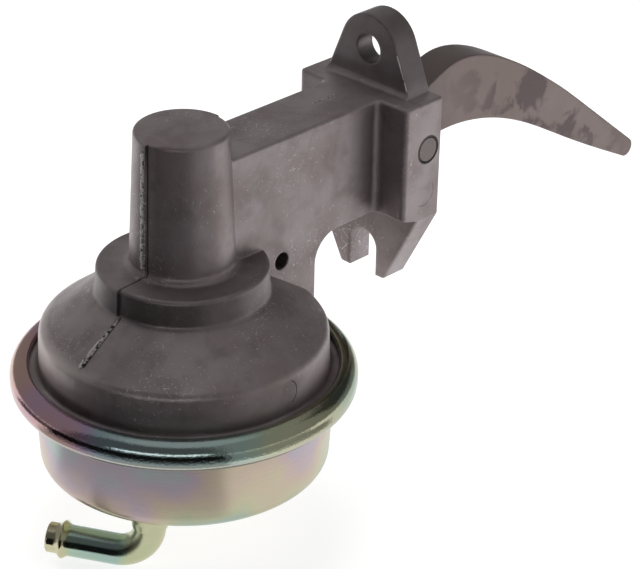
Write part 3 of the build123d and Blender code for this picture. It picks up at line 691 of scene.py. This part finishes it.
def make_pin_steel():
    """Ground steel whose rim against its hole is dark."""
    material, tree, shader, place = start_material("ground steel", 0.36, 0.85)
    grain = grain_on(tree, place, 3600.0, 500.0, 0.3)
    handling = {"Scratches per metre": 420.0, "Cover": 0.5, "Width": 0.04}
    marks = use(tree, scuffs, place, handling)["Mask"]
    flat = vector_result(tree, "MULTIPLY", place, (1.0, 0.0, 1.0))
    from_middle = vector_value(tree, "DISTANCE", flat, (PIN_X * MM, 0.0, 0.0))
    rim = remap(tree, from_middle, 3.9 * MM, 4.1 * MM)
    at_ends = above(tree, size_of(tree, split(tree, place)[1]), 21.5 * MM)
    ground_skin = blend_colour(tree, grain["Grain"], (0.120, 0.100, 0.098), (0.200, 0.172, 0.168))
    base = layered(tree, ground_skin, [
        (marks, 0.3, (0.45, 0.43, 0.42)),
        (times(tree, rim, at_ends), 0.85, (0.015, 0.012, 0.012)),
    ])
    put(shader, {"Base Color": base})
    bump(tree, shader, 0.18, 0.2 * MM, grain["Height"])
    return material


def make_plain_stock(name, light, dark, roughness, metallic, patches, grains):
    """Stock for parts inside the pump: two tones in clouds with a fine grain."""
    material, tree, shader, place = start_material(name, roughness, metallic)
    grain = grain_on(tree, place, grains, 300.0, 0.3)
    base = blend_colour(tree, stains_on(tree, place, patches, 0.5, 0.2), light, dark)
    grainy = plus(tree, roughness - 0.06, times(tree, grain["Grain"], 0.16))
    put(shader, {"Base Color": base, "Roughness": grainy})
    bump(tree, shader, 0.2, 0.3 * MM, grain["Height"])
    return material


def dress(name, material):
    """Gives every material slot of a node's object one finish."""
    mesh = frame["nodes"][name].data
    if not mesh.materials:
        mesh.materials.append(material)
    for index in range(len(mesh.materials)):
        mesh.materials[index] = material


def draw_can(material):
    """Steel can: floor, wall, rim and rolled lip of one sheet, turned once round.

    The outline runs out along the sheet's outer side and back along its inner side.
    """
    wall_foot_radius, wall_top_radius, rim_radius = 44.8, 46.2, 53.5
    rim_foot, rim_top, sheet = -3.6, 6.3, 1.15
    lip_radius, lip_end_radius, lip_end = 48.2, 47.4, 5.3
    floor_round, root_round, low_round, top_round, lip_round = 4.0, 1.4, 3.9, 4.6, 0.7
    outer = rounded(
        [
            (0, CAN_FLOOR),
            (wall_foot_radius, CAN_FLOOR),
            (wall_top_radius, rim_foot),
            (rim_radius, rim_foot),
            (rim_radius, rim_top),
            (lip_radius, rim_top),
            (lip_end_radius, lip_end),
        ],
        [floor_round, root_round, low_round, top_round, lip_round],
        steps=12,
    )
    outer = evened(outer, 1.2) * MM
    inner = inward(outer, sheet * MM)
    inner[0, 0] = 0.0
    can = turned("drawn_can", np.vstack([outer, inner[::-1]]), (AXIS_X, 0, JOINT_Z), spokes=320)
    can.data.materials.append(material)
    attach(can, "pump")
    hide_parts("can")


def tube_route():
    """Route of the hose tube: down out of the can's floor, round the elbow and straight to the end."""
    leg = np.array(TUBE_ROOT)
    reach = np.array(TUBE_AHEAD)
    down = np.array([0.0, 0.0, -1.0])
    inside, drop, bend, run, elbow_turn = 1.0 * MM, 4.5 * MM, 10.5 * MM, 21.2 * MM, radians(93.0)
    top = leg + down * np.linspace(-inside, drop, 8)[:, None]
    turn = np.linspace(0, elbow_turn, 28)[1:, None]
    elbow = leg + down * drop + bend * ((1 - np.cos(turn)) * reach + np.sin(turn) * down)
    ahead = np.sin(elbow_turn) * reach + np.cos(elbow_turn) * down
    before_bead = 0.62
    shares = np.concatenate([np.linspace(0, before_bead, 14)[1:], np.linspace(before_bead, 1.0, 44)[1:]])
    return np.vstack([top, elbow, elbow[-1] + ahead * (run * shares)[:, None]])


def bend_tube(material):
    """Hose tube: rings round its route, swollen into a bead near the end, then back inside at the bore.

    The bead adds its height times exp(-(distance / half length) squared) to the radius.
    """
    route = tube_route()
    length = np.concatenate([[0.0], np.cumsum(np.linalg.norm(np.diff(route, axis=0), axis=1))])
    from_end = (length[-1] - length) / MM
    outer_radius, bore_radius = 4.9, 3.9
    bead_place, bead_half_length, bead_height = 5.0, 1.15, 1.1
    end_taper, end_round = 0.15, 0.35
    swell = bead_height * np.exp(-(((from_end - bead_place) / bead_half_length) ** 2))
    taper = end_taper * np.clip((bead_place - from_end) / 2.0, 0, 1)
    lip = end_round * np.clip(1 - from_end / 0.5, 0, 1) ** 2
    outside = rings_along(route, (outer_radius + swell - taper - lip) * MM)
    bore = rings_along(route, np.full(len(route), bore_radius * MM))
    tube = surface("bent_hose_tube", np.concatenate([outside, bore[::-1]]), closed_along=True)
    tube.data.materials.append(material)
    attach(tube, "pump")
    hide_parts("hose_nipple")


def draw_collar(material):
    """Collar drawn out of the can's floor round the hose tube: its closed outline turned once round."""
    collar = rounded(
        [(5.0, 3.0), (7.0, 3.0), (6.9, 1.0), (5.7, -1.8), (5.45, -4.6), (4.95, -4.6), (5.0, 3.0)],
        [0.3, 1.6, 3.0, 0.2, 0.0],
    )
    collar = evened(collar, 0.6)[:-1] * MM
    sleeve = turned("drawn_collar", collar, TUBE_ROOT, spokes=96, closed=True)
    sleeve.data.materials.append(material)
    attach(sleeve, "pump")
    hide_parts("can")


def raise_seams(material):
    """Torn flash where the mould's halves met: tower, collar, cone, neck and ear."""
    flash(
        "tower_seam_flash", (-103.45, 1.35, 24.6), (-105.20, 0.75, -16.6), (-1, 0.05, 0),
        width=2.30, height=0.58, seed=11, material=material, rows=420,
    )
    flash(
        "collar_seam_flash", (-106.4, 0.55, -17.75), (-115.0, 0.55, -18.1), (0, 0, 1),
        width=0.45, height=0.12, seed=23, material=material,
    )
    flash(
        "cone_seam_flash", (-115.3, 0.2, -26.9), (-131.2, 0.0, -37.9), (-0.58, 0, 0.81),
        width=2.20, height=0.50, seed=37, material=material, rows=360,
    )
    flash(
        "neck_seam", (-33.5, 1.1, 16.40), (-22.3, 1.1, 16.40), (0, 0, 1),
        width=0.30, height=0.26, seed=51, material=material,
    )
    flash(
        "ear_flash", (-9.45, -11.9, 29.5), (-9.45, -16.7, 18.4), (-0.4, -1, 0.3),
        width=0.40, height=0.20, seed=67, material=material,
    )


def place_camera():
    """Camera at the photograph's viewing angle, rolled about its own line of sight."""
    azimuth, elevation, roll = radians(-46.7701), radians(28.2583), radians(1.3030)
    target, distance = Vector((-0.044985, -0.014924, -0.036332)), 0.7598
    focal_pixels, picture_width = 2438.58, 640.0
    back = Vector((sin(azimuth) * cos(elevation), -cos(azimuth) * cos(elevation), sin(elevation)))
    right = Vector((cos(azimuth), sin(azimuth), 0))
    up = back.cross(right)
    rolled_right = right * cos(roll) + up * sin(roll)
    rolled_up = up * cos(roll) - right * sin(roll)
    data = bpy.data.cameras.new("camera")
    data.sensor_fit = "HORIZONTAL"
    data.sensor_width = 36.0
    data.lens = data.sensor_width * focal_pixels / picture_width
    data.clip_start = 0.05
    data.clip_end = 20.0
    camera = bpy.data.objects.new("camera", data)
    turn = Matrix((rolled_right, rolled_up, back)).transposed().to_4x4()
    camera.matrix_world = Matrix.Translation(target + back * distance) @ turn
    bpy.context.collection.objects.link(camera)
    bpy.context.scene.camera = camera


def softbox(name, place, width, height, power):
    """A soft rectangular lamp at a place, turned to shine on the pump's middle."""
    aim = Vector((-0.05, 0.0, -0.03))
    data = bpy.data.lights.new(name, "AREA")
    data.shape = "RECTANGLE"
    data.size = width
    data.size_y = height
    data.energy = power
    lamp = bpy.data.objects.new(name, data)
    lamp.location = place
    lamp.rotation_euler = (aim - Vector(place)).to_track_quat("-Z", "Y").to_euler()
    lamp.visible_camera = False
    lamp.visible_glossy = False
    bpy.context.collection.objects.link(lamp)


def seen_directly(tree):
    """One for rays from the camera, a mirror or glass, and nought for rays that light the object."""
    path = node(tree, "LightPath").outputs
    mirror_or_glass = larger(tree, path["Is Glossy Ray"], path["Is Transmission Ray"])
    return larger(tree, path["Is Camera Ray"], mirror_or_glass)


def empty_tree(holder):
    """The holder's own node tree, with nothing in it."""
    holder.use_nodes = True
    holder.node_tree.nodes.clear()
    return holder.node_tree


def light_studio():
    """Tall softboxes to the right and behind to the left, one overhead, and a white surround."""
    softbox("right softbox", (0.50, -0.85, 0.12), 0.60, 0.80, 8.6)
    softbox("left softbox", (-0.05, 1.00, 0.10), 0.60, 0.80, 12.0)
    softbox("overhead softbox", (0.10, 0.25, 1.00), 0.60, 0.60, 9.0)
    world = bpy.data.worlds.new("surround")
    bpy.context.scene.world = world
    tree = empty_tree(world)
    dim = node(tree, "Background", {"Color": WHITE, "Strength": 0.08})
    white = node(tree, "Background", {"Color": WHITE, "Strength": 1.0})
    mix = node(tree, "MixShader", {0: seen_directly(tree), 1: dim.outputs[0], 2: white.outputs[0]})
    node(tree, "OutputWorld", {0: mix.outputs[0]})


def lay_floor():
    """Round pale floor: rings of points r_i (cos t_j, sin t_j) round the pump, all at one height.

    Near the pump it keeps part of its shadow, and further out it fades to the surround's white.
    """
    rings, spokes, reach = 6, 64, 2.4
    radius = np.linspace(0.0, reach, rings + 1)[1:, None]
    turn = np.linspace(0, 2 * np.pi, spokes, endpoint=False)
    height = np.full((rings, spokes), FLOOR_Z)
    points = np.stack([radius * np.cos(turn), radius * np.sin(turn), height], axis=-1)
    floor = surface("floor", points[::-1], pole_end=np.array([0.0, 0.0, FLOOR_Z]))
    material = bpy.data.materials.new("floor paint")
    tree = empty_tree(material)
    paint = node(tree, "BsdfDiffuse", {"Color": (0.88, 0.88, 0.88, 1)})
    place = node(tree, "TexCoord").outputs["Object"]
    far = vector_value(tree, "DISTANCE", place, (-0.05, 0.0, FLOOR_Z))
    fade_start, fade_end = 0.25, 0.90
    share = remap(tree, far, fade_start, fade_end, 0.62, 1.0)
    glow = node(tree, "Emission", {
        "Color": WHITE,
        "Strength": remap(tree, far, fade_start, fade_end, 1.30, 1.0),
    })
    share = times(tree, seen_directly(tree), share)
    mix = node(tree, "MixShader", {0: share, 1: paint.outputs[0], 2: glow.outputs[0]})
    node(tree, "OutputMaterial", {0: mix.outputs[0]})
    floor.data.materials.append(material)


def hang_card(name, bearings, heights, distance, glow):
    """Card seen only in reflections: point (i, j) is at a distance, at bearing j and height angle i."""
    bearing = np.radians(np.linspace(*bearings, 60))
    rise = np.radians(np.linspace(*heights, 16))[:, None]
    centre = np.array([AXIS_X, 0.0, -0.05])
    points = np.stack(
        [np.cos(rise) * np.cos(bearing), np.cos(rise) * np.sin(bearing), np.sin(rise) + 0 * bearing], axis=-1,
    )
    reflect_only(surface(name, centre + distance * points, closed_across=False), glow)


def lay_card(name, bearings, reaches, glow):
    """Card on the floor seen only in reflections: point (i, j) is at bearing j, reach i from the can."""
    rows, columns, lift = 12, 40, 1.0 * MM
    bearing = np.radians(np.linspace(*bearings, columns))
    reach = np.linspace(*reaches, rows)[:, None]
    height = np.full((rows, columns), FLOOR_Z + lift)
    points = np.stack([AXIS_X + reach * np.cos(bearing), reach * np.sin(bearing), height], axis=-1)
    reflect_only(surface(name, points[::-1], closed_across=False), glow)


def stand_card(name, glow):
    """Low upright card beside the hose tube: point (i, j) is j along the tube and i up from the floor."""
    along = np.linspace(9.0, 36.0, 12) * MM
    rise = np.linspace(1.5, 13.0, 6)[:, None] * MM
    off_tube, aside = 15.0 * MM, radians(212.0)
    x = LEG_X + along * TUBE_AHEAD[0] + off_tube * cos(aside) + 0 * rise
    y = LEG_Y + along * TUBE_AHEAD[1] + off_tube * sin(aside) + 0 * rise
    points = np.stack([x, y, FLOOR_Z + rise + 0 * along], axis=-1)
    reflect_only(surface(name, points, closed_across=False), glow)


def reflect_only(card, glow):
    """Gives a card its even tone and hides it from all but mirror rays."""
    material = bpy.data.materials.new(card.name)
    tree = empty_tree(material)
    tone = node(tree, "Emission", {"Color": WHITE, "Strength": glow})
    node(tree, "OutputMaterial", {0: tone.outputs[0]})
    material.cycles.emission_sampling = "NONE"
    card.data.materials.append(material)
    card.visible_camera = False
    card.visible_diffuse = False
    card.visible_shadow = False
    card.visible_transmission = False


def hang_cards():
    """The dim studio that the pump mirrors: walls, ceiling and a bright strip, then the floor's tones."""
    hang_card("grey studio wall", (0, 360), (-2, 89), 1.60, 0.30)
    hang_card("ceiling", (0, 360), (68, 89), 1.45, 0.46)
    hang_card("dim front wall", (150, 250), (-1, 62), 1.35, 0.12)
    hang_card("dim wall behind to the right", (-28, 18), (16, 48), 1.35, 0.06)
    hang_card("front strip", (184, 240), (6, 15), 1.20, 2.00)
    lay_card("shaded floor before the can", (138, 250), (0.072, 0.122), 0.54)
    lay_card("dark floor before the pump", (145, 250), (0.122, 1.30), 0.01)
    lay_card("dim floor to the left", (112, 145), (0.150, 0.60), 0.15)
    lay_card("dim floor to the right", (250, 316), (0.112, 0.200), 0.35)
    lay_card("dim far floor to the right", (250, 304), (0.200, 0.70), 0.38)
    stand_card("dark card before the tube", 0.01)


place_camera()
light_studio()
lay_floor()
hang_cards()

die_cast = make_die_cast()
torn = make_torn_flash()
can_zinc = make_can_zinc()
tube_zinc = make_tube_zinc()

finishes = {
    "die_cast": die_cast,
    "zinc_yellow_steel": can_zinc,
    "forged_steel": make_forged(),
    "ground_steel": make_pin_steel(),
}
for slot, name, light, dark, roughness, metallic, patches, grains in (
    ("spring_steel", "spring wire", (0.26, 0.26, 0.27), (0.16, 0.16, 0.17), 0.35, 0.9, 300.0, 4000.0),
    ("bronze", "sintered bronze", (0.42, 0.28, 0.12), (0.30, 0.19, 0.08), 0.45, 0.9, 400.0, 3500.0),
    ("fabric_rubber", "rubbered cloth", (0.040,) * 3, (0.026,) * 3, 0.65, 0.0, 500.0, 2200.0),
    ("seal_rubber", "moulded seal", (0.032,) * 3, (0.020,) * 3, 0.55, 0.0, 300.0, 3000.0),
    ("valve_sheet", "valve sheet", (0.060, 0.045, 0.035), (0.040, 0.030, 0.024), 0.5, 0.0, 300.0, 3000.0),
):
    finishes[slot] = make_plain_stock(name, light, dark, roughness, metallic, patches, grains)
for part in frame["record"]["subparts"]:
    dress(part["node"], finishes[part["material_slot"]])

draw_can(can_zinc)
bend_tube(tube_zinc)
draw_collar(tube_zinc)
raise_seams(torn)

bpy.context.scene.view_settings.view_transform = "Standard"
